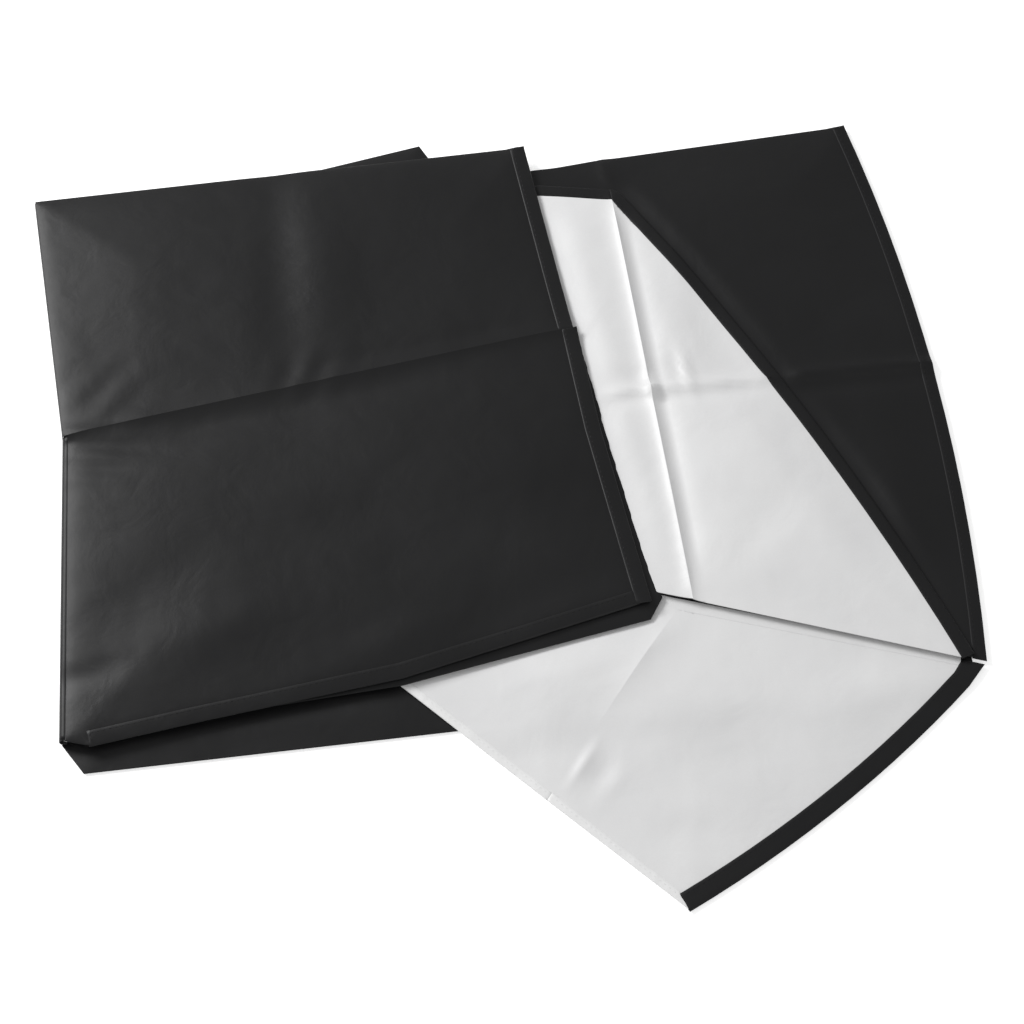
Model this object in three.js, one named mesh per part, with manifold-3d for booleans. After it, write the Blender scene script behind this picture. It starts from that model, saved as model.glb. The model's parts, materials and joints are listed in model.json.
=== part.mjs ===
// A folding blanket of two-faced cloth, black on one face and white on the other, folded flat.
// Millimetres, +Z up, +X along the packet's long side, +Y towards its back. The origin is on the
// underside of the bottom sheet, near the middle of the folded blanket.

import * as THREE from "three";
import { mergeVertices } from "three/addons/utils/BufferGeometryUtils.js";
import Module from "manifold-3d";

const wasm = await Module();
wasm.setup();

// Driving dimensions of the folded blanket.
const length = 820; // left fold to the rear panel's rim
const depth = 755; // lower flap's point to the rear panel's tip
const clothThickness = 0.8; // one face cloth
const clothGap = 0.3; // between the two face cloths of a sheet
const layerGap = 0.4; // between one folded sheet and the next
const bindingWidth = 15; // finished width of the tape on the lower flap's rim
const rimBindingWidth = 10; // what shows of the tape on the other rims
const hemWidth = 12; // turned hem on the packet's edges
const weltWidth = 6; // white welt on the lower flap's straight edge
const foldWidth = 4; // cloth that stands up in the left fold
const creaseGap = 1; // between two panels that meet at a fold line
const seamFit = 0.3; // between a cloth and the tape or hem at its edge
const flapClearance = 4; // between the corner flap and the upper panel's front edge
const hingeLift = 0.7; // of the left fold's line above half the packet's height
const sheetThickness = 2 * clothThickness + clothGap;

// Corners are placed on a plan of the blanket at this size, and stretch with length and depth.
const planLength = 820;
const planDepth = 755;
const arcSteps = 14;
const reach = 2000; // longer than anything it cuts

function at(x, y) {
  return new THREE.Vector2((x * length) / planLength, (y * depth) / planDepth);
}

// Points on a circular arc from start to end, standing out by rise on its left-hand side.
function arc(start, end, rise) {
  const along = end.clone().sub(start);
  const side = new THREE.Vector2(-along.y, along.x).normalize();
  const half = along.length() / 2;
  const radius = (half * half + rise * rise) / (2 * rise);
  const middle = start.clone().add(end).multiplyScalar(0.5).addScaledVector(side, rise - radius);
  const opening = Math.asin(half / radius);
  const points = [];
  for (let i = 0; i <= arcSteps; i++) {
    const turn = opening * ((2 * i) / arcSteps - 1);
    const point = middle.clone().addScaledVector(side, radius * Math.cos(turn));
    points.push(point.addScaledVector(along.clone().normalize(), radius * Math.sin(turn)));
  }
  return points;
}

// The line moved sideways by a distance, to its right where the distance is positive.
function shifted(points, distance) {
  return points.map((point, i) => {
    const before = points[Math.max(i - 1, 0)];
    const after = points[Math.min(i + 1, points.length - 1)];
    const a = point.clone().sub(i ? before : point.clone().add(point).sub(after)).normalize();
    const b = (i < points.length - 1 ? after.clone().sub(point) : a.clone()).normalize();
    const normal = new THREE.Vector2(a.y + b.y, -a.x - b.x).normalize();
    const stretch = 1 / Math.max(0.5, normal.dot(new THREE.Vector2(a.y, -a.x)));
    return point.clone().addScaledVector(normal, distance * stretch);
  });
}

// The line with a straight stretch added at both ends.
function extended(points, more) {
  const first = points[0].clone().sub(points[1]).setLength(more).add(points[0]);
  const [beforeLast, last] = points.slice(-2);
  return [first, ...points, last.clone().sub(beforeLast).setLength(more).add(last)];
}

function solidOf(points, bottom, height) {
  const outline = THREE.ShapeUtils.isClockWise(points) ? [...points].reverse() : points;
  const shape = new THREE.Shape(outline);
  const extruded = new THREE.ExtrudeGeometry(shape, { depth: height, bevelEnabled: false });
  extruded.translate(0, 0, bottom);
  extruded.deleteAttribute("normal");
  extruded.deleteAttribute("uv");
  const merged = mergeVertices(extruded, 1e-3);
  const vertProperties = new Float32Array(merged.attributes.position.array);
  const triVerts = new Uint32Array(merged.index.array);
  return new wasm.Manifold(new wasm.Mesh({ numProp: 3, vertProperties, triVerts }));
}

// A tall solid over a strip along a line, from one sideways distance to another.
function strip(points, from, to) {
  const outline = [...shifted(points, from), ...shifted(points, to).reverse()];
  return solidOf(outline, -reach, 2 * reach);
}

// A tall solid over everything to the right of a straight line, from a clearance beside it.
function rightOf([start, end], clearance = creaseGap / 2) {
  const along = end.clone().sub(start).setLength(reach);
  const line = [start.clone().sub(along), end.clone().add(along)];
  return strip(line, clearance, reach);
}

function leftOf([start, end], clearance = creaseGap / 2) {
  return rightOf([end, start], clearance);
}

const colours = { black: 0x1c1c1e, white: 0xe8e8e8, tape: 0x0e0e10, welt: 0xf4f4f4 };
const roughness = { black: 0.42, white: 0.38, tape: 0.5, welt: 0.45 };
const blanket = new THREE.Group();

function add(name, finish, solid) {
  const made = solid.getMesh();
  const geometry = new THREE.BufferGeometry();
  const positions = new THREE.BufferAttribute(new Float32Array(made.vertProperties), 3);
  geometry.setAttribute("position", positions);
  geometry.setIndex(new THREE.BufferAttribute(new Uint32Array(made.triVerts), 1));
  const material = new THREE.MeshStandardMaterial({
    color: colours[finish],
    roughness: roughness[finish],
    metalness: 0,
  });
  const mesh = new THREE.Mesh(geometry, material);
  mesh.name = name;
  blanket.add(mesh);
}

// Height of the underside of a folded sheet, counted from the bottom sheet, which is 0.
function levelOf(sheet) {
  return sheet * (sheetThickness + layerGap);
}

// The two face cloths of a sheet: cut() takes away or keeps what the caller wants of each.
function addSheet(name, sheet, topFinish, outline, cut) {
  const bottomFinish = topFinish === "black" ? "white" : "black";
  const low = solidOf(outline, levelOf(sheet), clothThickness);
  const high = solidOf(outline, levelOf(sheet) + clothThickness + clothGap, clothThickness);
  add(name + "_" + bottomFinish + "_cloth", bottomFinish, cut(low));
  add(name + "_" + topFinish + "_cloth", topFinish, cut(high));
}

// Tape, hem or welt, as thick as the sheet whose edge it finishes.
function addEdging(name, sheet, finish, outline, line, width, cut) {
  const whole = solidOf(outline, levelOf(sheet), sheetThickness);
  add(name, finish, cut(whole.intersect(strip(line, -width, width))));
}

// Left fold: a bent line that every sheet of the packet turns round.
const foldTop = at(-430, 310);
const foldKink = at(-385, 65);
const foldBottom = at(-365, -215);
const leftFold = [foldTop, foldKink, foldBottom];

// Fold lines that panels turn on.
const crossCrease = [foldKink, at(55, 175)];
const innerCrease = [at(90, 315), at(150, -85)];
const cornerCrease = [at(140, -90), at(30, -260)];

// Bottom sheet, black face up, of which only a sliver shows in front of the packet.
const bottomSheet = 0;
const bottomOutline = [
  foldBottom,
  at(-345, -240),
  at(380, -150),
  at(365, 120),
  at(300, 385),
  at(15, 340),
  foldTop,
  foldKink,
];
const foldBand = strip(leftFold, -foldWidth - seamFit, 4 * foldWidth);
addSheet("bottom_sheet", bottomSheet, "black", bottomOutline, (cloth) => cloth.subtract(foldBand));

// Lower flap, white face up: it lies under the rear panel and comes out in front of the packet.
const flapSheet = 1;
const flapCorner = at(390, -145);
const flapPoint = at(140, -355);
const flapRim = arc(flapPoint, flapCorner, -12);
const straightEdge = [at(-130, -130), flapPoint];
const flapOutline = [...flapRim, at(380, 50), at(360, 140), at(300, 390), at(-300, 240), straightEdge[0]];
const frontLine = [at(135, -90), at(410, -150)];
const cornerPiece = leftOf(cornerCrease).intersect(rightOf(frontLine, flapClearance));
const cornerRoom = leftOf(cornerCrease, -creaseGap / 2).intersect(rightOf(frontLine, -creaseGap / 2));
const rimBand = strip(flapRim, -bindingWidth - seamFit, 4 * bindingWidth);
const weltBand = strip(straightEdge, -weltWidth - seamFit, 4 * weltWidth);

addSheet("lower_flap", flapSheet, "white", flapOutline, (cloth) =>
  cloth.subtract(cornerRoom).subtract(weltBand),
);
addEdging("lower_flap_welt", flapSheet, "welt", flapOutline, straightEdge, weltWidth, (edging) =>
  edging.subtract(cornerRoom),
);
addSheet("corner_flap", flapSheet, "white", flapOutline, (cloth) =>
  cloth.intersect(cornerPiece).subtract(rimBand).subtract(weltBand),
);
addEdging("corner_flap_binding", flapSheet, "tape", flapOutline, flapRim, bindingWidth, (edging) =>
  edging.intersect(cornerPiece),
);
addEdging("corner_flap_welt", flapSheet, "welt", flapOutline, straightEdge, weltWidth, (edging) =>
  edging.intersect(cornerPiece).subtract(rimBand),
);

// Rear panel, black face up, with a bound rim on its right.
const rearSheet = 2;
const rearTip = at(305, 400);
const rearFoot = at(390, -140);
const rearRim = arc(rearTip, rearFoot, 21);
const rearOutline = [...rearRim, at(120, -80), at(-350, -140), at(-375, 65), at(-400, 260), at(70, 360)];
const rearBand = strip(rearRim, -4 * rimBindingWidth, rimBindingWidth + seamFit);
addSheet("rear_panel", rearSheet, "black", rearOutline, (cloth) =>
  cloth.subtract(rearBand).subtract(foldBand),
);
addEdging("rear_panel_binding", rearSheet, "tape", rearOutline, rearRim, rimBindingWidth, (edging) => edging);

// Upper panel, white face up. Its right-hand part, past the inner crease, is a flap that lifts.
// The white cloth ends on these lines, and the tape goes on outside them.
const upperSheet = 3;
const upperTip = at(370, -140);
const whiteRim = arc(innerCrease[0], upperTip, 14);
const whiteTopEdge = [at(-40, 310), at(25, 320), innerCrease[0]];
const upperRim = extended(shifted(whiteRim, -rimBindingWidth), rimBindingWidth);
const upperTopEdge = extended(shifted(whiteTopEdge, -rimBindingWidth), rimBindingWidth);
const upperOutline = [
  ...upperRim.slice(1, -1),
  upperTip,
  at(120, -80),
  at(-350, -130),
  at(-375, 65),
  at(-390, 240),
  ...upperTopEdge.slice(1, -1),
];
const pastInner = leftOf(innerCrease);
const beforeInner = rightOf(innerCrease);
const upperBand = strip(upperRim, -4 * rimBindingWidth, rimBindingWidth + seamFit);
const topEdgeBand = strip(upperTopEdge, -4 * rimBindingWidth, rimBindingWidth + seamFit);
addSheet("upper_panel", upperSheet, "white", upperOutline, (cloth) =>
  cloth.intersect(beforeInner).subtract(topEdgeBand).subtract(foldBand),
);
addEdging("upper_panel_binding", upperSheet, "tape", upperOutline, upperTopEdge, rimBindingWidth, (edging) =>
  edging.intersect(beforeInner),
);
addSheet("inner_flap", upperSheet, "white", upperOutline, (cloth) =>
  cloth.intersect(pastInner).subtract(upperBand),
);
addEdging("inner_flap_binding", upperSheet, "tape", upperOutline, upperRim, rimBindingWidth, (edging) =>
  edging.intersect(pastInner),
);

// The page is the top of the packet: two sheets that turn together on the left fold, and each
// is split again at the cross crease.
const underSheet = 4;
const pageSheet = 5;
const nearCross = rightOf(crossCrease);
const farCross = leftOf(crossCrease);

const underNearOutline = [
  foldKink,
  at(60, 175),
  at(125, -85),
  at(115, -105),
  at(-90, -165),
  at(-260, -195),
  at(-345, -210),
  foldBottom,
];
const underFarOutline = [foldKink, at(-420, 300), at(-220, 335), at(-85, 375), at(50, 165)];
addSheet("under_page_near", underSheet, "black", underNearOutline, (cloth) =>
  cloth.intersect(nearCross).subtract(foldBand),
);
addSheet("under_page_far", underSheet, "black", underFarOutline, (cloth) =>
  cloth.intersect(farCross).subtract(foldBand),
);

const nearCorner = at(115, -90);
const nearRightEdge = [at(55, 180), at(75, 75), nearCorner];
const nearFrontEdge = [nearCorner, at(-90, -160), at(-260, -200), at(-340, -220)];
const nearOutline = [foldKink, ...nearRightEdge, ...nearFrontEdge.slice(1), foldBottom];
const nearRightBand = strip(nearRightEdge, -4 * hemWidth, hemWidth + seamFit);
const nearFrontBand = strip(nearFrontEdge, -4 * hemWidth, hemWidth + seamFit);
addSheet("page_near", pageSheet, "black", nearOutline, (cloth) =>
  cloth.intersect(nearCross).subtract(nearRightBand).subtract(nearFrontBand).subtract(foldBand),
);
addEdging("page_near_side_hem", pageSheet, "black", nearOutline, nearRightEdge, hemWidth, (edging) =>
  edging.intersect(nearCross),
);
addEdging("page_near_front_hem", pageSheet, "black", nearOutline, nearFrontEdge, hemWidth, (edging) =>
  edging.subtract(nearRightBand).subtract(foldBand),
);

const farRightEdge = [at(10, 370), at(55, 165)];
const farOutline = [foldKink, foldTop, ...farRightEdge];
const farBand = strip(farRightEdge, -4 * hemWidth, hemWidth + seamFit);
addSheet("page_far", pageSheet, "black", farOutline, (cloth) =>
  cloth.intersect(farCross).subtract(farBand),
);
addEdging("page_far_side_hem", pageSheet, "black", farOutline, farRightEdge, hemWidth, (edging) =>
  edging.intersect(farCross),
);

// Left fold: the cloth stands up here, one part on the base and one on the page.
const foldSide = [...leftFold, ...shifted(leftFold, -foldWidth).reverse()];
const nearFold = [foldKink, foldBottom];
const nearFoldSide = [...nearFold, ...shifted(nearFold, -foldWidth).reverse()];
const pageTop = levelOf(pageSheet) + sheetThickness;
const hingeHeight = pageTop / 2 + hingeLift;
const pageFoldBottom = hingeHeight + seamFit;
add("left_fold_base", "black", solidOf(foldSide, 0, hingeHeight - seamFit));
add(
  "left_fold_page",
  "black",
  solidOf(nearFoldSide, pageFoldBottom, pageTop - pageFoldBottom).intersect(nearCross),
);

export default blanket;
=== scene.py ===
import json
import math
import bpy
import numpy as np
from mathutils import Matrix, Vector
from mathutils.geometry import delaunay_2d_cdt


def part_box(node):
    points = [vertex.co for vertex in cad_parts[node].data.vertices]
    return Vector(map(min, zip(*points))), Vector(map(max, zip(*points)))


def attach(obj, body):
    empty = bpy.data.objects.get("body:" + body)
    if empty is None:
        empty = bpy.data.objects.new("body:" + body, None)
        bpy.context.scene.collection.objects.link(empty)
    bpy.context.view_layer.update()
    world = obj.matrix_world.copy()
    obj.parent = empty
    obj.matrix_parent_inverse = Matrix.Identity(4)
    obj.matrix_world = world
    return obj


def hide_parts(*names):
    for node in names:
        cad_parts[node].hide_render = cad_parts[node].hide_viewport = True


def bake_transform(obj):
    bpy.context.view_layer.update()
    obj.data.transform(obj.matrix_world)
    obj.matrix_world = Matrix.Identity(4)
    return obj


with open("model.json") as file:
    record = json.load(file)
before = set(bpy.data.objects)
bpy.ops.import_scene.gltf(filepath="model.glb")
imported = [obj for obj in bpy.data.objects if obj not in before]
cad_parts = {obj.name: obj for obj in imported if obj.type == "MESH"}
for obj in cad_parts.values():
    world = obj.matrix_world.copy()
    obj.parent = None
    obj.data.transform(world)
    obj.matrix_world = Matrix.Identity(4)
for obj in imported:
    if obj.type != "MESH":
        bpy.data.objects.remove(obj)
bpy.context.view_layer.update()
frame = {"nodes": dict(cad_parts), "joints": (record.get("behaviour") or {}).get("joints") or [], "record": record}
bpy.ops.object.select_all(action="DESELECT")
joints = {j["name"]: j for j in frame["joints"]}
slotOf = {s["node"]: s["material_slot"] for s in frame["record"]["subparts"]}


def outlineOf(node):  # the loop of a plate's upper face, counter-clockwise, in metres
    mesh = frame["nodes"][node].data
    places, keys = [], {}

    def keyOf(index):
        x, y, _ = mesh.vertices[index].co
        key = (round(x, 5), round(y, 5))
        if key not in keys:
            keys[key] = len(places)
            places.append((x, y))
        return keys[key]

    following = {}
    for face in mesh.polygons:
        if face.normal.z < 0.9:
            continue
        corners = [keyOf(i) for i in face.vertices]
        for a, b in zip(corners, corners[1:] + corners[:1]):
            if following.get(b) and a in following[b]:
                following[b].remove(a)
            else:
                following.setdefault(a, []).append(b)
    start = next(a for a, b in following.items() if b)
    loop, at = [], start
    while following.get(at):
        loop.append(places[at])
        at = following[at].pop()
        if at == start:
            break
    return np.array(loop)


def resampled(loop, spacing):  # points every spacing or less along a closed loop
    made = []
    for a, b in zip(loop, np.roll(loop, -1, axis=0)):
        steps = max(1, math.ceil(np.linalg.norm(b - a) / spacing))
        made.extend(a + (b - a) * k / steps for k in range(steps))
    return np.array(made)


def isInside(points, loop):
    x, y = points[:, 0], points[:, 1]
    inside = np.zeros(len(points), bool)
    for (ax, ay), (bx, by) in zip(loop, np.roll(loop, -1, axis=0)):
        if ay == by:
            continue
        crosses = (ay > y) != (by > y)
        inside ^= crosses & (x < (bx - ax) * (y - ay) / (by - ay) + ax)
    return inside


def distanceTo(points, marks):  # to the nearest of many points
    nearest = np.full(len(points), 1e9)
    for k in range(0, len(marks), 200):
        gaps = points[:, None, :2] - marks[None, k:k + 200, :2]
        nearest = np.minimum(nearest, np.sqrt((gaps ** 2).sum(2)).min(1))
    return nearest


def smooth(t):
    t = np.clip(t, 0, 1)
    return t * t * (3 - 2 * t)


def areaOf(loop):
    x, y = loop[:, 0], loop[:, 1]
    return abs(float((x * np.roll(y, -1) - np.roll(x, -1) * y).sum()) / 2)


def foldOf(jointName):  # a point on the fold, its direction and the side that lifts
    j = joints[jointName]
    along = np.array(j["axis"][:2], float)
    along /= np.linalg.norm(along)
    return np.array(j["pos_m"][:2], float), along, np.array([-along[1], along[0]])


def offsets(points, fold):  # along and across a fold
    origin, along, side = fold
    return (points - origin) @ along, (points - origin) @ side


creaseNear = 0.0012  # corners this near to a crease belong to it
creaseCover = 0.0007  # a little over half the gap between two panels at a crease
markPitch = 0.0008  # of the points that a distance to an outline is measured from

crossFold = foldOf("cross_fold")
innerFold = foldOf("inner_flap_fold")
cornerFold = foldOf("corner_flap_fold")

groups = {
    "bottom": ["bottom_sheet"],
    "flap": ["lower_flap", "corner_flap"],
    "rear": ["rear_panel"],
    "upper": ["upper_panel", "inner_flap"],
    "under": ["under_page_near", "under_page_far"],
    "page": ["page_near", "page_far"],
}
groupNodes = {g: [n for n in frame["nodes"] if n.startswith(tuple(p + "_" for p in heads))]
              for g, heads in groups.items()}
outlines = {n: outlineOf(n) for nodes in groupNodes.values() for n in nodes}


freeEdgeLook = {"pitch": 0.004, "clear": 0.0032}


def freeEdgeOf(nodes):  # points on the group's outer edge, without its seams and creases
    look = freeEdgeLook
    marks = {n: resampled(outlines[n], look["pitch"]) for n in nodes}
    kept = []
    for n in nodes:
        others = [marks[o] for o in nodes
                  if o != n and not o.replace("black", "white") == n.replace("black", "white")]
        own = marks[n]
        if others:
            own = own[distanceTo(own, np.vstack(others)) > look["clear"]]
        kept.append(own)
    return np.vstack(kept)


freeEdges = {g: freeEdgeOf(nodes) for g, nodes in groupNodes.items()}
print("outlines read")


def drawnIn(loop, inset, fold=None):  # a smaller outline, or a larger one, but not at a crease
    first = loop - np.roll(loop, 1, axis=0)
    second = np.roll(loop, -1, axis=0) - loop
    first /= np.linalg.norm(first, axis=1)[:, None]
    second /= np.linalg.norm(second, axis=1)[:, None]
    firstIn = np.column_stack([-first[:, 1], first[:, 0]])
    inward = firstIn + np.column_stack([-second[:, 1], second[:, 0]])
    inward /= np.linalg.norm(inward, axis=1)[:, None]
    stretch = 1 / np.maximum(0.5, (inward * firstIn).sum(1))
    moved = loop + inward * (inset * stretch)[:, None]
    if fold is None:
        return moved
    return np.where((np.abs(offsets(loop, fold)[1]) < creaseNear)[:, None], loop, moved)


def underOf(points, group, fade):  # 0 under the sheets of a group, rising to 1 at fade outside it
    covered = np.zeros(len(points), bool)
    for n in groupNodes[group]:
        covered |= isInside(points, drawnIn(outlines[n], -creaseCover))
    out = smooth(distanceTo(points, freeEdges[group]) / fade)
    return np.where(covered, 0, out)


def groupBox(group):
    corners = np.vstack([outlines[n] for n in groupNodes[group]])
    return corners.min(0), corners.max(0)


boxes = {g: groupBox(g) for g in groups}


# relief of each folded sheet above its flat place, in metres
def crowned(edge, look, *creases):  # a soft crown inside the free edge, lower beside each crease
    z = look["crown"] * smooth(edge / look["crownReach"])
    for across in creases:
        z = z * (1 - look["dip"] * np.exp(-(across / look["dipWidth"]) ** 2))
    return z


def tent(across, along, height, width, start, end, ends):  # a sharp ridge along a crease
    window = smooth((along - start) / ends) * smooth((end - along) / ends)
    return height * np.exp(-np.abs(across) / width) * window


def groove(across, along, height, width, start, end, ends):  # a round swelling or hollow along it
    window = smooth((along - start) / ends) * smooth((end - along) / ends)
    return height * np.exp(-(across / width) ** 2) * window


def swells(points, group, rows):  # soft dents and swells, each at its share of the sheet's box
    low, high = boxes[group]
    z = np.zeros(len(points))
    for shareX, shareY, height, wide, deep, turn in rows:
        dx, dy = (points - low - (high - low) * (shareX, shareY)).T
        c, s = math.cos(turn), math.sin(turn)
        z += height * np.exp(-((dx * c + dy * s) / wide) ** 2 - ((dy * c - dx * s) / deep) ** 2)
    return z


def waves(along, across, row):  # a small fan of wrinkles round one place beside a crease
    place, offset, long, wide, height, pitchAlong, pitchAcross = row
    near = np.exp(-((along - place) / long) ** 2 - ((across - offset) / wide) ** 2)
    return height * near * np.sin(along * pitchAlong + across * pitchAcross)


# a ridge or valley row gives its height, width, start and end along the crease, and fade at its ends
pageLook = {
    "crown": 0.0030, "crownReach": 0.09, "dip": 0.75, "dipWidth": 0.05,
    "lift": 0.0022, "edgeDrop": 0.0028, "dropReach": 0.010,
    "ridge": 0.0026, "steepWidth": 0.0055, "gentleWidth": 0.020, "ridgeSpan": (-0.06, 0.52, 0.03),
    "nearShift": 0.020, "nearValley": (0.0024, 0.014, 0.02, 0.36, 0.10),
    "farShift": 0.014, "farValley": (0.00096, 0.009, 0.16, 0.46, 0.08),
    "swells": [(0.41, 0.77, -0.0018, 0.020, 0.110, 0.10), (0.48, 0.80, 0.0018, 0.030, 0.090, 0.16),
               (0.56, 0.35, -0.0018, 0.070, 0.025, 0.20), (0.72, 0.40, 0.0012, 0.080, 0.030, 0.30),
               (0.24, 0.23, -0.0020, 0.055, 0.030, 0.70), (0.34, 0.17, 0.0015, 0.060, 0.022, 0.45),
               (0.81, 0.22, -0.0015, 0.075, 0.020, 0.35), (0.18, 0.75, 0.0011, 0.050, 0.050, 0.00),
               (0.14, 0.10, -0.0014, 0.050, 0.012, 0.30), (0.62, 0.16, 0.0012, 0.080, 0.016, 0.40)],
    "wrinkles": [(0.030, -0.024, 0.035, 0.030, 0.0008, 90, 260),
                 (0.215, 0.010, 0.030, 0.022, 0.0006, 190, -120),
                 (0.040, 0.030, 0.040, 0.026, 0.0004, 120, -170)],
}


def pageRelief(points):
    look = pageLook
    along, across = offsets(points, crossFold)
    edge = distanceTo(points, freeEdges["page"])
    z = crowned(edge, look, across) + look["lift"]
    z -= look["edgeDrop"] * np.exp(-edge / look["dropReach"])
    width = np.where(across < 0, look["steepWidth"], look["gentleWidth"])
    z += tent(across, along, look["ridge"], width, *look["ridgeSpan"])
    z -= groove(across + look["nearShift"], along, *look["nearValley"])
    z -= groove(across - look["farShift"], along, *look["farValley"])
    z += swells(points, "page", look["swells"])
    for row in look["wrinkles"]:
        z += waves(along, across, row)
    return z


underLook = {"crown": 0.0006, "crownReach": 0.05, "edgeDrop": 0.0030, "dropReach": 0.010}


def underRelief(points):
    look = underLook
    edge = distanceTo(points, freeEdges["under"])
    return crowned(edge, look) - look["edgeDrop"] * np.exp(-edge / look["dropReach"])


# one crease crosses the inner fold at its joint, and carries on over the rear panel
panelCreaseAngle = math.radians(6.3)
panelCrease = (innerFold[0], np.array([math.cos(panelCreaseAngle), math.sin(panelCreaseAngle)]),
               np.array([-math.sin(panelCreaseAngle), math.cos(panelCreaseAngle)]))
rimReach = 0.112  # along that crease, from the inner fold to the inner flap's rim

upperLook = {
    "crown": 0.0042, "crownReach": 0.06, "dip": 0.7, "dipWidth": 0.022, "lift": 0.0004,
    "ridge": (0.0040, 0.0045, -0.22, 0.23, 0.05), "ridgeValley": (0.0016, 0.006, -0.20, 0.20, 0.06),
    "cross": (0.0036, 0.0045, -0.12, rimReach + 0.01, 0.03),
    "crossValley": (0.0014, 0.006, -0.10, rimReach, 0.04), "valleyShift": 0.010, "pageFade": 0.028,
    "swells": [(0.668, 0.54, 0.0030, 0.007, 0.010, 0.0), (0.649, 0.57, -0.0018, 0.012, 0.007, -0.6),
               (0.704, 0.58, 0.0024, 0.004, 0.022, 0.25), (0.692, 0.59, -0.0016, 0.005, 0.020, 0.25),
               (0.740, 0.38, 0.0018, 0.060, 0.030, 0.50), (0.779, 0.25, -0.0016, 0.050, 0.018, 0.90),
               (0.701, 0.78, 0.0016, 0.018, 0.050, 0.15), (0.640, 0.30, -0.0014, 0.014, 0.040, 0.10),
               (0.735, 0.66, -0.0018, 0.020, 0.040, 0.55)],
}


def upperRelief(points):
    look = upperLook
    along, across = offsets(points, innerFold)
    reached, toCross = offsets(points, panelCrease)
    edge = distanceTo(points, freeEdges["upper"])
    z = look["lift"] + crowned(edge, look, across, toCross)
    z += tent(across, along, *look["ridge"])
    z -= groove(across - look["valleyShift"], along, *look["ridgeValley"])
    z += tent(toCross, reached, *look["cross"])
    z -= groove(toCross + look["valleyShift"], reached, *look["crossValley"])
    z += swells(points, "upper", look["swells"])
    return z * underOf(points, "page", look["pageFade"])


flapLook = {
    "crown": 0.0050, "crownReach": 0.11, "dip": 0.6, "dipWidth": 0.03,
    "ridge": (0.0080, 0.026, -0.13, 0.045, 0.12), "drop": 0.0019,
    "pageFade": 0.040, "panelFade": 0.020, "bottomFade": 0.030,
    "swells": [(0.519, 0.165, 0.0018, 0.005, 0.020, -0.55), (0.539, 0.154, -0.0014, 0.006, 0.018, -0.55),
               (0.555, 0.141, 0.0010, 0.004, 0.014, -0.70), (0.710, 0.188, -0.0030, 0.080, 0.030, 0.55),
               (0.826, 0.235, 0.0024, 0.060, 0.024, 0.20), (0.638, 0.087, -0.0014, 0.030, 0.014, 0.10)],
}


def flapRelief(points):
    look = flapLook
    along, across = offsets(points, cornerFold)
    edge = distanceTo(points, freeEdges["flap"])
    z = crowned(edge, look, across)
    z += tent(across, along, *look["ridge"])
    z += swells(points, "flap", look["swells"])
    z *= underOf(points, "page", look["pageFade"])
    z *= underOf(points, "upper", look["panelFade"]) * underOf(points, "rear", look["panelFade"])
    return z - look["drop"] * underOf(points, "bottom", look["bottomFade"])


rearLook = {
    "crown": 0.0030, "crownReach": 0.07, "dip": 0.6, "dipWidth": 0.035,
    "ridge": (0.0038, 0.007, rimReach - 0.05, 0.29, 0.04), "ridgeShift": 0.002,
    "valley": (0.0024, 0.008, rimReach - 0.03, 0.256, 0.04), "valleyShift": 0.011,
    "step": (0.0022, 0.006, -0.262, -0.200, 0.02), "edgeDrop": 0.0022, "dropReach": 0.014,
    "pageFade": 0.030, "panelFade": 0.020,
    "swells": [(0.785, 0.78, 0.0018, 0.070, 0.040, -0.6), (0.873, 0.63, -0.0014, 0.050, 0.025, 0.5),
               (0.924, 0.30, 0.0016, 0.022, 0.070, 0.1)],
}


def rearRelief(points):
    look = rearLook
    reached, across = offsets(points, panelCrease)
    edge = distanceTo(points, freeEdges["rear"])
    z = crowned(edge, look, across)
    z += tent(across - look["ridgeShift"], reached, *look["ridge"])
    z -= groove(across + look["valleyShift"], reached, *look["valley"])
    along, beside = offsets(points, innerFold)  # the inner fold's line carried on to the back edge
    z += tent(beside, along, *look["step"])
    z += swells(points, "rear", look["swells"])
    beyondPage = underOf(points, "page", look["pageFade"])
    z *= beyondPage * underOf(points, "upper", look["panelFade"])
    return z - look["edgeDrop"] * np.exp(-edge / look["dropReach"]) * beyondPage


bottomLook = {"roll": 0.0030, "rise": 0.03, "reach": 0.05, "flapFade": 0.03}


def bottomRelief(points):
    look = bottomLook
    edge = distanceTo(points, freeEdges["bottom"])
    z = look["roll"] * smooth(edge / look["rise"]) * np.exp(-(edge / look["reach"]) ** 2)
    return z * underOf(points, "flap", look["flapFade"])


reliefs = {"page": pageRelief, "under": underRelief, "upper": upperRelief, "flap": flapRelief,
           "rear": rearRelief, "bottom": bottomRelief}


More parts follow.
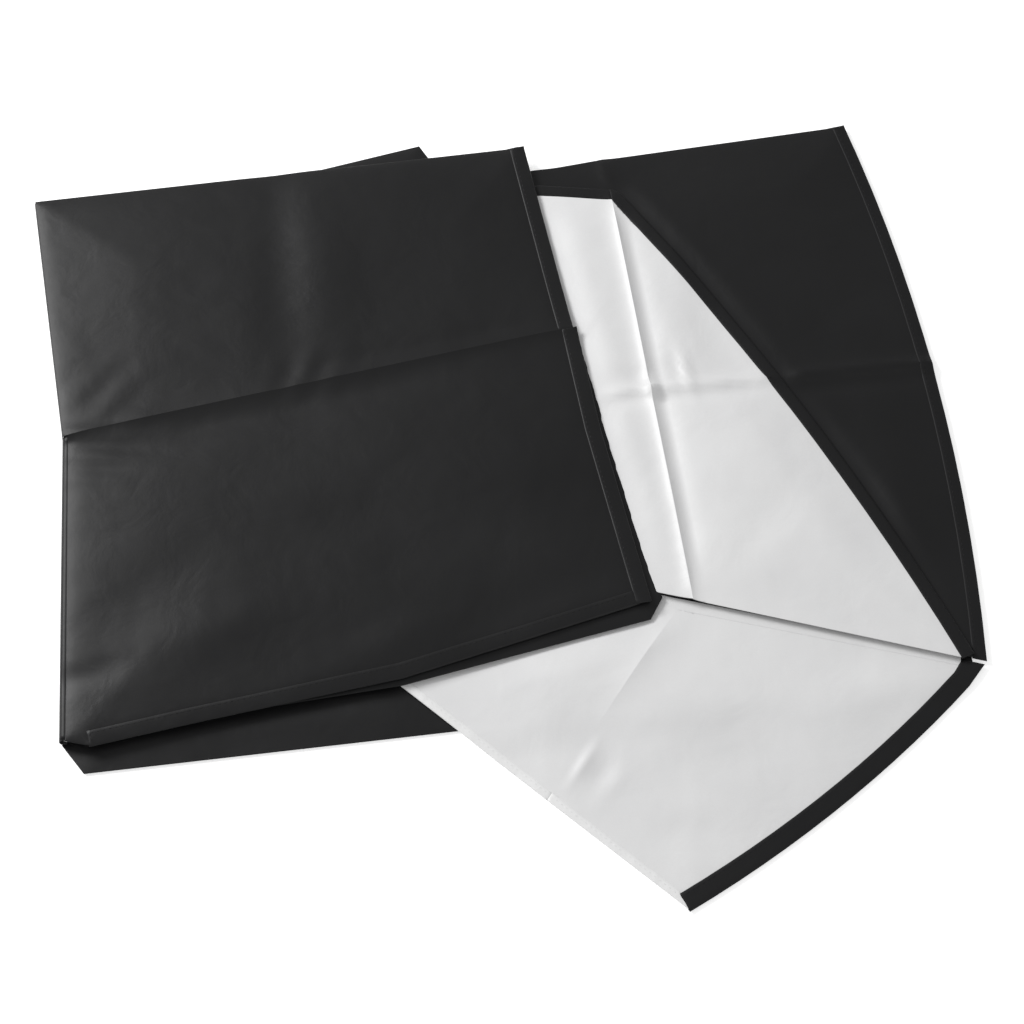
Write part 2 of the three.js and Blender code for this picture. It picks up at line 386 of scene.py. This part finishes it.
class Wire:  # shader maths on sockets
    def __init__(self, tree, socket):
        self.tree = tree
        self.socket = socket

    def node(self, kind, settings=None, inputs=None, output=0):
        made = self.tree.nodes.new(kind)
        for key, value in (settings or {}).items():
            if key == "stops":
                for k, (place, colour) in enumerate(value):
                    ramp = made.color_ramp.elements
                    stop = ramp[k] if k < len(ramp) else ramp.new(place)
                    stop.position, stop.color = place, colour
            else:
                setattr(made, key, value)
        for key, value in (inputs or {}).items():
            if isinstance(value, Wire):
                self.tree.links.new(value.socket, made.inputs[key])
            else:
                made.inputs[key].default_value = value
        return Wire(self.tree, made.outputs[output])

    def math(self, operation, first, second=0.0):
        return self.node("ShaderNodeMath", {"operation": operation}, {0: first, 1: second})

    def noise(self, scale, detail, distortion=0.0):
        inputs = {"Vector": self, "Scale": scale, "Detail": detail, "Distortion": distortion}
        return self.node("ShaderNodeTexNoise", None, inputs)

    def __add__(self, other):
        return self.math("ADD", self, other)

    def __radd__(self, other):
        return self.math("ADD", other, self)

    def __sub__(self, other):
        return self.math("SUBTRACT", self, other)

    def __rsub__(self, other):
        return self.math("SUBTRACT", other, self)

    def __mul__(self, other):
        return self.math("MULTIPLY", self, other)

    def __rmul__(self, other):
        return self.math("MULTIPLY", other, self)


def clothMaterial(name, look):
    material = bpy.data.materials.new(name)
    material.use_nodes = True
    tree = material.node_tree
    shader = tree.nodes["Principled BSDF"]
    place = Wire(tree, tree.nodes.new("ShaderNodeTexCoord").outputs["Object"])
    parts = place.node("ShaderNodeSeparateXYZ", None, {0: place})
    x, y = parts, Wire(tree, parts.socket.node.outputs[1])
    pitch = 2 * math.pi / look["thread"]
    weave = place.math("SINE", x * pitch) * place.math("SINE", y * pitch)
    cloudy = place.noise(look["cloudScale"], 3.0)
    creased = place.noise(look["creaseScale"], 4.0, 0.6)
    slub = place.noise(look["slubScale"], 1.0)
    shade = cloudy * look["cloudShade"] + slub * look["slubShade"] + weave * look["weaveShade"]
    stops = [(look["deepStop"], look["deep"]), (look["lightStop"], look["light"])]
    colour = place.node("ShaderNodeValToRGB", {"stops": stops}, {0: shade})
    tree.links.new(colour.socket, shader.inputs["Base Color"])
    rough = look["roughness"] + (cloudy - 0.5) * look["roughSpread"]
    tree.links.new(rough.socket, shader.inputs["Roughness"])
    height = creased * look["creaseDepth"] + cloudy * look["cloudDepth"] + weave * look["weaveDepth"]
    bumped = place.node("ShaderNodeBump", None, {"Height": height, "Strength": 1.0, "Distance": 1.0})
    tree.links.new(bumped.socket, shader.inputs["Normal"])
    shader.inputs["Specular IOR Level"].default_value = look["specular"]
    shader.inputs["Sheen Weight"].default_value = look["sheen"]
    shader.inputs["Sheen Roughness"].default_value = look["sheenRough"]
    return material


blackLook = {"thread": 0.0007, "cloudScale": 7.0, "creaseScale": 26.0, "slubScale": 900.0,
             "cloudShade": 0.7, "slubShade": 0.2, "weaveShade": 0.06,
             "deep": (0.0065, 0.0065, 0.007, 1), "light": (0.0105, 0.0105, 0.011, 1),
             "deepStop": 0.25, "lightStop": 0.75, "roughness": 0.44, "roughSpread": 0.12,
             "creaseDepth": 0.0006, "cloudDepth": 0.0030, "weaveDepth": 0.000012,
             "specular": 0.26, "sheen": 0.0, "sheenRough": 0.4}
whiteLook = dict(blackLook, cloudScale=8.0, creaseScale=22.0, deep=(0.72, 0.72, 0.725, 1),
                 light=(0.82, 0.82, 0.82, 1), roughness=0.42, creaseDepth=0.0009,
                 cloudDepth=0.0036, specular=0.5, sheen=0.05)
tapeLook = dict(blackLook, thread=0.0014, deep=(0.0045, 0.0045, 0.005, 1),
                light=(0.008, 0.008, 0.0085, 1), roughness=0.55, creaseScale=60.0,
                creaseDepth=0.0003, weaveDepth=0.00003)
hemLook = dict(blackLook, light=(0.011, 0.011, 0.0115, 1))
# the welt is painted a lighter white than the white cloth: a painted highlight along the bright fold edge
paintedHighlightWeltLook = dict(whiteLook, deep=(0.80, 0.80, 0.80, 1), light=(0.88, 0.88, 0.88, 1), creaseScale=50.0)
materials = {
    "black_cloth": clothMaterial("blackSatinCloth", blackLook),
    "white_cloth": clothMaterial("whiteSatinCloth", whiteLook),
    "binding_tape": clothMaterial("blackBindingTape", tapeLook),
    "black_hem": clothMaterial("blackTurnedHem", hemLook),
    # the white welt material carries that painted highlight
    "white_welt": clothMaterial("whiteWelt", paintedHighlightWeltLook),
}
print("materials made")


plateLook = {"edgePitch": 0.004, "rings": (0.12, 0.45, 1.0), "ringClear": 0.93, "rim": 0.25,
             "rowRise": 0.866, "gridClear": 0.45, "sharpAngle": 55}


def insideGrid(loop, spacing, clear):  # a triangular grid of points, clear of the edge
    low, high = loop.min(0), loop.max(0)
    rise = spacing * plateLook["rowRise"]
    rows = int((high[1] - low[1]) / rise) + 1
    columns = int((high[0] - low[0]) / spacing) + 1
    grid = np.array([(low[0] + (c + 0.5 * (r % 2)) * spacing, low[1] + r * rise)
                     for r in range(rows) for c in range(columns)])
    grid = grid[isInside(grid, loop)]
    clear += spacing * plateLook["gridClear"]
    return grid[distanceTo(grid, resampled(loop, spacing / 3)) > clear]


def ringOf(edge, loop, inset):  # the edge's points moved in, for an even row of faces along it
    before, after = np.roll(edge, 1, axis=0), np.roll(edge, -1, axis=0)
    along = after - before
    along /= np.linalg.norm(along, axis=1)[:, None]
    ring = edge + np.column_stack([-along[:, 1], along[:, 0]]) * inset
    clear = distanceTo(ring, resampled(loop, markPitch)) > inset * plateLook["ringClear"]
    return ring[isInside(ring, loop) & clear]


def snapped(loop, fold):  # corners beside a crease go onto it, so that two panels meet there
    _, across = offsets(loop, fold)
    close = np.abs(across) < creaseNear
    return np.where(close[:, None], loop - across[:, None] * fold[2], loop)


def pulledTo(loop, spot, reach):  # the corners near a spot become one corner on it
    near = distanceTo(loop, spot[None]) < reach
    first = near.argmax()
    kept = [k for k in range(len(loop)) if k == first or not near[k]]
    return np.array([spot if k == first else loop[k] for k in kept])


def flapFront():  # the two ends of the corner flap's front edge
    flap = outlines["corner_flap_white_cloth"]
    onCrease = flap[np.abs(offsets(flap, cornerFold)[1]) < creaseNear]
    return onCrease[onCrease[:, 1].argmax()], flap[flap[:, 0].argmax()]


frontLook = {"innerReach": 0.008, "outerReach": 0.024, "tapeNear": 0.003, "tapeShift": 0.0048}


def meetingFront(node, loop):  # the lower flap and the flap's tape close the clearance between them
    look = frontLook
    inner, outer = flapFront()
    if node.startswith("lower_flap") and node.endswith("_cloth"):
        return pulledTo(pulledTo(loop, inner, look["innerReach"]), outer, look["outerReach"])
    if node == "corner_flap_binding":
        along = (outer - inner) / np.linalg.norm(outer - inner)
        ahead = np.array([-along[1], along[0]])
        close = np.abs((loop - inner) @ ahead) < look["tapeNear"]
        return loop + np.where(close, look["tapeShift"], 0.0)[:, None] * ahead
    return loop


bendWidth = 0.012  # of the band beside a crease that bends as it turns
bendLook = {"rowPitch": 0.0015, "pitch": 0.004, "past": 0.003, "gridPast": 0.004, "clear": 0.0004}


def bendRows(loop, fold, clear):  # even rows of points over that band, alike in both cloths
    look = bendLook
    origin, along, side = fold
    reach, _ = offsets(loop, fold)
    rows = np.array([origin + along * a + side * d
                     for d in np.arange(look["rowPitch"], bendWidth + look["past"], look["rowPitch"])
                     for a in np.arange(reach.min(), reach.max(), look["pitch"])])
    rows = rows[isInside(rows, loop)]
    return rows[distanceTo(rows, resampled(loop, 0.001)) > clear + look["clear"]]


def softPlate(name, loop, spacing, lowZ, highZ, rounding, relief, fold=None):
    look = plateLook
    edge = resampled(loop, min(spacing, look["edgePitch"]))
    rings = [ringOf(edge, loop, rounding * share) for share in look["rings"]]
    inner = insideGrid(loop, spacing, rounding)
    if fold is not None:
        across = offsets(inner, fold)[1]
        inner = inner[(across < 0) | (across > bendWidth + bendLook["gridPast"])]
        inner = np.vstack([inner, bendRows(loop, fold, rounding)])
    flat = np.vstack([edge, *rings, inner])
    count = len(edge)
    rim = [(k, (k + 1) % count) for k in range(count)]
    spots, _, faces, _, _, _ = delaunay_2d_cdt([Vector(p) for p in flat], rim, [], 1, 1e-7)
    places = np.array([(p.x, p.y) for p in spots])
    free = np.vstack([edge, resampled(loop, markPitch)])
    if fold is not None:  # the crease is no edge, so the cloth keeps its full thickness there
        free = free[np.abs(offsets(free, fold)[1]) > 0.0003]
    depth = distanceTo(places, free)
    curve = np.sqrt(1 - (1 - np.clip(depth / rounding, 0, 1)) ** 2)
    swell = look["rim"] + (1 - look["rim"]) * curve
    half = (highZ - lowZ) / 2
    middle = (highZ + lowZ) / 2 + relief(places)
    top = np.column_stack([places, middle + half * swell])
    bottom = np.column_stack([places, middle - half * swell])
    total = len(places)
    turned, sides = [], {}
    for face in faces:
        a, b, c = (int(i) for i in face[:3])
        (ax, ay), (bx, by), (cx, cy) = places[a], places[b], places[c]
        if (bx - ax) * (cy - ay) - (by - ay) * (cx - ax) < 0:
            b, c = c, b
        turned.append((a, b, c))
        for pair in ((a, b), (b, c), (c, a)):
            if (pair[1], pair[0]) in sides:
                del sides[(pair[1], pair[0])]
            else:
                sides[pair] = True
    walls = [(b, a, a + total, b + total) for a, b in sides]
    everyFace = turned + [(c + total, b + total, a + total) for a, b, c in turned] + walls
    mesh = bpy.data.meshes.new(name)
    mesh.from_pydata(np.vstack([top, bottom]).tolist(), [], everyFace)
    mesh.validate()
    piece = bpy.data.objects.new(name, mesh)
    bpy.context.scene.collection.objects.link(piece)
    mesh.shade_smooth()
    mesh.set_sharp_from_angle(angle=math.radians(look["sharpAngle"]))
    return piece


hinges = {  # nodes that turn on a crease: its fold, its joint and its two bodies
    "corner_flap": (cornerFold, "corner_flap_fold", "base", "corner_flap"),
    "inner_flap": (innerFold, "inner_flap_fold", "base", "inner_flap"),
    "page_far": (crossFold, "cross_fold", "page_near", "page_far"),
    "under_page_far": (crossFold, "cross_fold", "page_near", "page_far"),
}
bodyOf = {n: body for body, nodes in frame["record"]["behaviour"]["bodies"].items() for n in nodes}


def settle(piece, node):  # rides on the node's body, or, beside a crease, is left where it lies on no body
    head = next((h for h in hinges if node.startswith(h + "_")), None)
    if head:
        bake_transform(piece)
    else:
        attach(piece, bodyOf[node])


def pieceNameOf(node):
    words = node.split("_")
    return words[0] + "".join(w.capitalize() for w in words[1:]) + "Piece"


folds = {"page": crossFold, "under": crossFold, "upper": innerFold, "flap": cornerFold}
clothLook = {"shown": 0.0055, "hidden": 0.0080, "rounding": 0.0008, "hiddenInset": 0.0016,
             "hiddenDrop": 0.0004}
edgingLook = {"spacing": 0.0035, "rounding": 0.0028, "proud": 0.0005, "overlap": 0.0009}


def hiddenRelief(group):  # a lower face cloth keeps a little below the face that shows
    return lambda points: reliefs[group](points) - clothLook["hiddenDrop"]


def isUpperFace(node, group):  # white lies up on the upper panel and the lower flap, black elsewhere
    return node.endswith("white_cloth") == (group in ("upper", "flap"))


for group, nodes in groupNodes.items():
    fold = folds.get(group)
    for node in nodes:
        lowCorner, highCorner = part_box(node)
        loop = meetingFront(node, outlines[node])
        if node.endswith("_cloth"):
            look, lift = clothLook, 0.0
            isTop = isUpperFace(node, group)
            spacing = look["shown" if isTop and group not in ("bottom", "under") else "hidden"]
            relief = reliefs[group] if isTop else hiddenRelief(group)
            if fold is not None:
                loop = snapped(loop, fold)
            if not isTop:
                loop = drawnIn(loop, look["hiddenInset"], fold)
        else:
            look, lift = edgingLook, edgingLook["proud"]
            spacing, relief = look["spacing"], reliefs[group]
            loop = drawnIn(loop, -look["overlap"])
        piece = softPlate(pieceNameOf(node), loop, spacing, lowCorner[2], highCorner[2] + lift,
                          look["rounding"], relief, fold)
        piece.data.materials.append(materials[slotOf[node]])
        settle(piece, node)
        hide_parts(node)
    print("made", group)


stitchLook = {"pitch": 0.0050, "long": 0.0034, "thick": 0.00055, "inset": 0.0022, "flatness": 0.8,
              "markPitch": 0.001, "seamPitch": 0.0005, "seamReach": 0.0008, "fewest": 10}
bpy.ops.mesh.primitive_uv_sphere_add(segments=6, ring_count=5, radius=0.5)
pattern = bpy.context.object
patternPoints = np.array([v.co for v in pattern.data.vertices])
patternFaces = [tuple(f.vertices) for f in pattern.data.polygons]
bpy.data.objects.remove(pattern, do_unlink=True)


def stitchRow(edging, cloth, group, slotName):
    look = stitchLook
    loop = resampled(outlines[edging], look["markPitch"])
    seam = loop[distanceTo(loop, resampled(outlines[cloth], look["seamPitch"])) < look["seamReach"]]
    if len(seam) < look["fewest"]:
        return None
    _, _, axes = np.linalg.svd(seam - seam.mean(0))
    seam = seam[np.argsort(seam @ axes[0])]
    steps = np.concatenate([[0], np.cumsum(np.linalg.norm(np.diff(seam, axis=0), axis=1))])
    places = np.arange(look["pitch"], steps[-1] - look["pitch"], look["pitch"])
    route = np.column_stack([np.interp(places, steps, seam[:, k]) for k in (0, 1)])
    along = np.gradient(route, axis=0)
    along /= np.linalg.norm(along, axis=1)[:, None]
    side = np.column_stack([-along[:, 1], along[:, 0]])
    toward = isInside(route + side * look["inset"], outlines[edging])
    route = route + np.where(toward[:, None], side, -side) * look["inset"]
    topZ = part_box(edging)[1][2] + edgingLook["proud"]
    height = topZ + reliefs[group](route)
    points, faces = [], []
    for (x, y), (ax, ay), z in zip(route, along, height):
        base = len(points)
        for px, py, pz in patternPoints:
            lx, ly, lz = px * look["long"], py * look["thick"], pz * look["thick"] * look["flatness"]
            points.append((x + lx * ax - ly * ay, y + lx * ay + ly * ax, z + lz))
        faces.extend(tuple(base + i for i in f) for f in patternFaces)
    mesh = bpy.data.meshes.new(pieceNameOf(edging) + "Stitches")
    mesh.from_pydata(points, [], faces)
    row = bpy.data.objects.new(mesh.name, mesh)
    bpy.context.scene.collection.objects.link(row)
    for face in mesh.polygons:
        face.use_smooth = True
    mesh.materials.append(materials[slotName])
    settle(row, edging)
    return row


for group, nodes in groupNodes.items():
    for node in nodes:
        if node.endswith("_cloth"):
            continue
        topColour = "white" if group in ("upper", "flap") else "black"
        head = next(h for h in groups[group] if node.startswith(h + "_"))
        row = stitchRow(node, head + "_" + topColour + "_cloth", group, slotOf[node])


# the left fold: cloth that turns from the base up and over onto the page
leftFoldLook = {"proud": 0.0012, "thickness": 0.0008, "rows": 13, "underPage": 0.0027, "low": 0.0006,
                "dive": 0.0006, "spacing": 0.004, "fullness": 0.6, "sharpness": 8}
foldCorners = outlineOf("left_fold_base")
foldPairs = foldCorners[np.argsort(-foldCorners[:, 1])].reshape(3, 2, 2)
foldLine = np.array([pair[pair[:, 0].argmin()] for pair in foldPairs])  # top, kink and bottom
foldInside = float(np.linalg.norm(foldPairs[2][0] - foldPairs[2][1]))


def leftFoldRoute(near):  # points down one half of the fold, and the way out of it at each
    ways = np.diff(foldLine, axis=0)
    ways /= np.linalg.norm(ways, axis=1)[:, None]
    start, end = (foldLine[1], foldLine[2]) if near else (foldLine[0], foldLine[1])
    steps = math.ceil(np.linalg.norm(end - start) / leftFoldLook["spacing"])
    share = np.linspace(0, 1, steps + 1)[:, None]
    nearKink = ((1 - share) if near else share) ** leftFoldLook["sharpness"]
    way = ways[1 if near else 0] * (1 - nearKink) + ways.mean(0) * nearKink
    way /= np.linalg.norm(way, axis=1)[:, None]
    return start + (end - start) * share, np.column_stack([way[:, 1], -way[:, 0]])


def foldSheet(name, near, fromTurn, toTurn):
    look = leftFoldLook
    route, out = leftFoldRoute(near)
    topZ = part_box("page_near_black_cloth")[1][2]
    middle, half = (topZ + look["low"]) / 2, (topZ - look["low"]) / 2
    deep = foldInside + look["underPage"]
    rise = pageRelief(route - out * foldInside)
    points, faces = [], []
    for turn in np.linspace(fromTurn, toTurn, look["rows"]):
        reach = (deep + look["proud"]) * max(0.0, math.cos(turn)) ** look["fullness"] - deep
        over = max(0.0, math.sin(turn))
        heights = middle + half * math.sin(turn) + over * rise
        heights -= look["dive"] * over ** look["sharpness"]
        points.extend(np.column_stack([route + out * reach, heights]).tolist())
    width = len(route)
    for k in range(look["rows"] - 1):
        for i in range(width - 1):
            a = k * width + i
            faces.append((a, a + 1, a + width + 1, a + width))
    mesh = bpy.data.meshes.new(name)
    mesh.from_pydata(points, [], faces)
    piece = bpy.data.objects.new(name, mesh)
    bpy.context.scene.collection.objects.link(piece)
    bpy.context.view_layer.objects.active = piece
    piece.select_set(True)
    wall = piece.modifiers.new("wall", "SOLIDIFY")
    wall.thickness = look["thickness"]
    bpy.ops.object.modifier_apply(modifier=wall.name)
    bpy.ops.object.mode_set(mode="EDIT")
    bpy.ops.mesh.select_all(action="SELECT")
    bpy.ops.mesh.normals_make_consistent(inside=False)
    bpy.ops.object.mode_set(mode="OBJECT")
    bpy.ops.object.shade_smooth()
    piece.select_set(False)
    piece.data.materials.append(materials["black_cloth"])
    long = float(np.linalg.norm(route[-1] - route[0]))
    return piece


quarter = math.pi / 2
nearFold = foldSheet("leftFoldNear", True, -quarter, quarter)
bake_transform(nearFold)
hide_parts("left_fold_base", "left_fold_page")
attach(foldSheet("leftFoldFarLower", False, -quarter, 0.0), "base")
farUpper = foldSheet("leftFoldFarUpper", False, 0.0, quarter)
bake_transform(farUpper)
print("left fold made")


for group, nodes in groupNodes.items():
    for node in nodes:
        if not node.endswith("_cloth"):
            continue
        lowCorner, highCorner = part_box(node)
        head = node.rsplit("_", 2)[0]
        if isUpperFace(node, group):
            for other in nodes:
                not other.endswith("_cloth") and other.startswith(head + "_")
        areaOf(outlines[node])


stageLook = {"floor": (0.90, 0.90, 0.90, 1), "floorSize": 12, "floorHeight": -0.0006,
             "floorRough": 0.9, "glow": 0.50, "world": 0.45, "key": 52.0, "fill": 8.0}
bpy.ops.mesh.primitive_plane_add(size=stageLook["floorSize"], location=(0, 0, stageLook["floorHeight"]))
floor = bpy.context.object
floor.name = "floor"
floorMaterial = bpy.data.materials.new("paleFloor")
floorMaterial.use_nodes = True
floorShader = floorMaterial.node_tree.nodes["Principled BSDF"]
floorShader.inputs["Base Color"].default_value = stageLook["floor"]
floorShader.inputs["Roughness"].default_value = stageLook["floorRough"]
floorShader.inputs["Emission Color"].default_value = (1, 1, 1, 1)
floorShader.inputs["Emission Strength"].default_value = stageLook["glow"]
floor.data.materials.append(floorMaterial)

world = bpy.data.worlds.new("studio")
world.use_nodes = True
world.node_tree.nodes["Background"].inputs["Color"].default_value = (1, 1, 1, 1)
world.node_tree.nodes["Background"].inputs["Strength"].default_value = stageLook["world"]
bpy.context.scene.world = world


def softLight(name, place, size, power):
    lamp = bpy.data.lights.new(name, "AREA")
    lamp.shape = "RECTANGLE"
    lamp.size, lamp.size_y = size
    lamp.energy = power
    holder = bpy.data.objects.new(name, lamp)
    holder.location = place
    holder.rotation_euler = (-Vector(place)).to_track_quat("-Z", "Y").to_euler()
    bpy.context.scene.collection.objects.link(holder)


softLight("backSoftbox", (-1.7, 1.1, 1.5), (1.0, 0.8), stageLook["key"])
softLight("frontSoftbox", (1.4, -1.6, 1.8), (1.2, 1.2), stageLook["fill"])

viewLook = {"elevation": 62.0, "distance": 2.2, "lens": 91.0}
camera = bpy.data.objects.new("camera", bpy.data.cameras.new("camera"))
tilt = math.radians(viewLook["elevation"])
camera.location = (0, -viewLook["distance"] * math.cos(tilt), viewLook["distance"] * math.sin(tilt))
camera.rotation_euler = (math.pi / 2 - tilt, 0, 0)
camera.data.lens = viewLook["lens"]
bpy.context.scene.collection.objects.link(camera)
bpy.context.scene.camera = camera
bpy.context.scene.view_settings.view_transform = "Standard"
print("stage set")
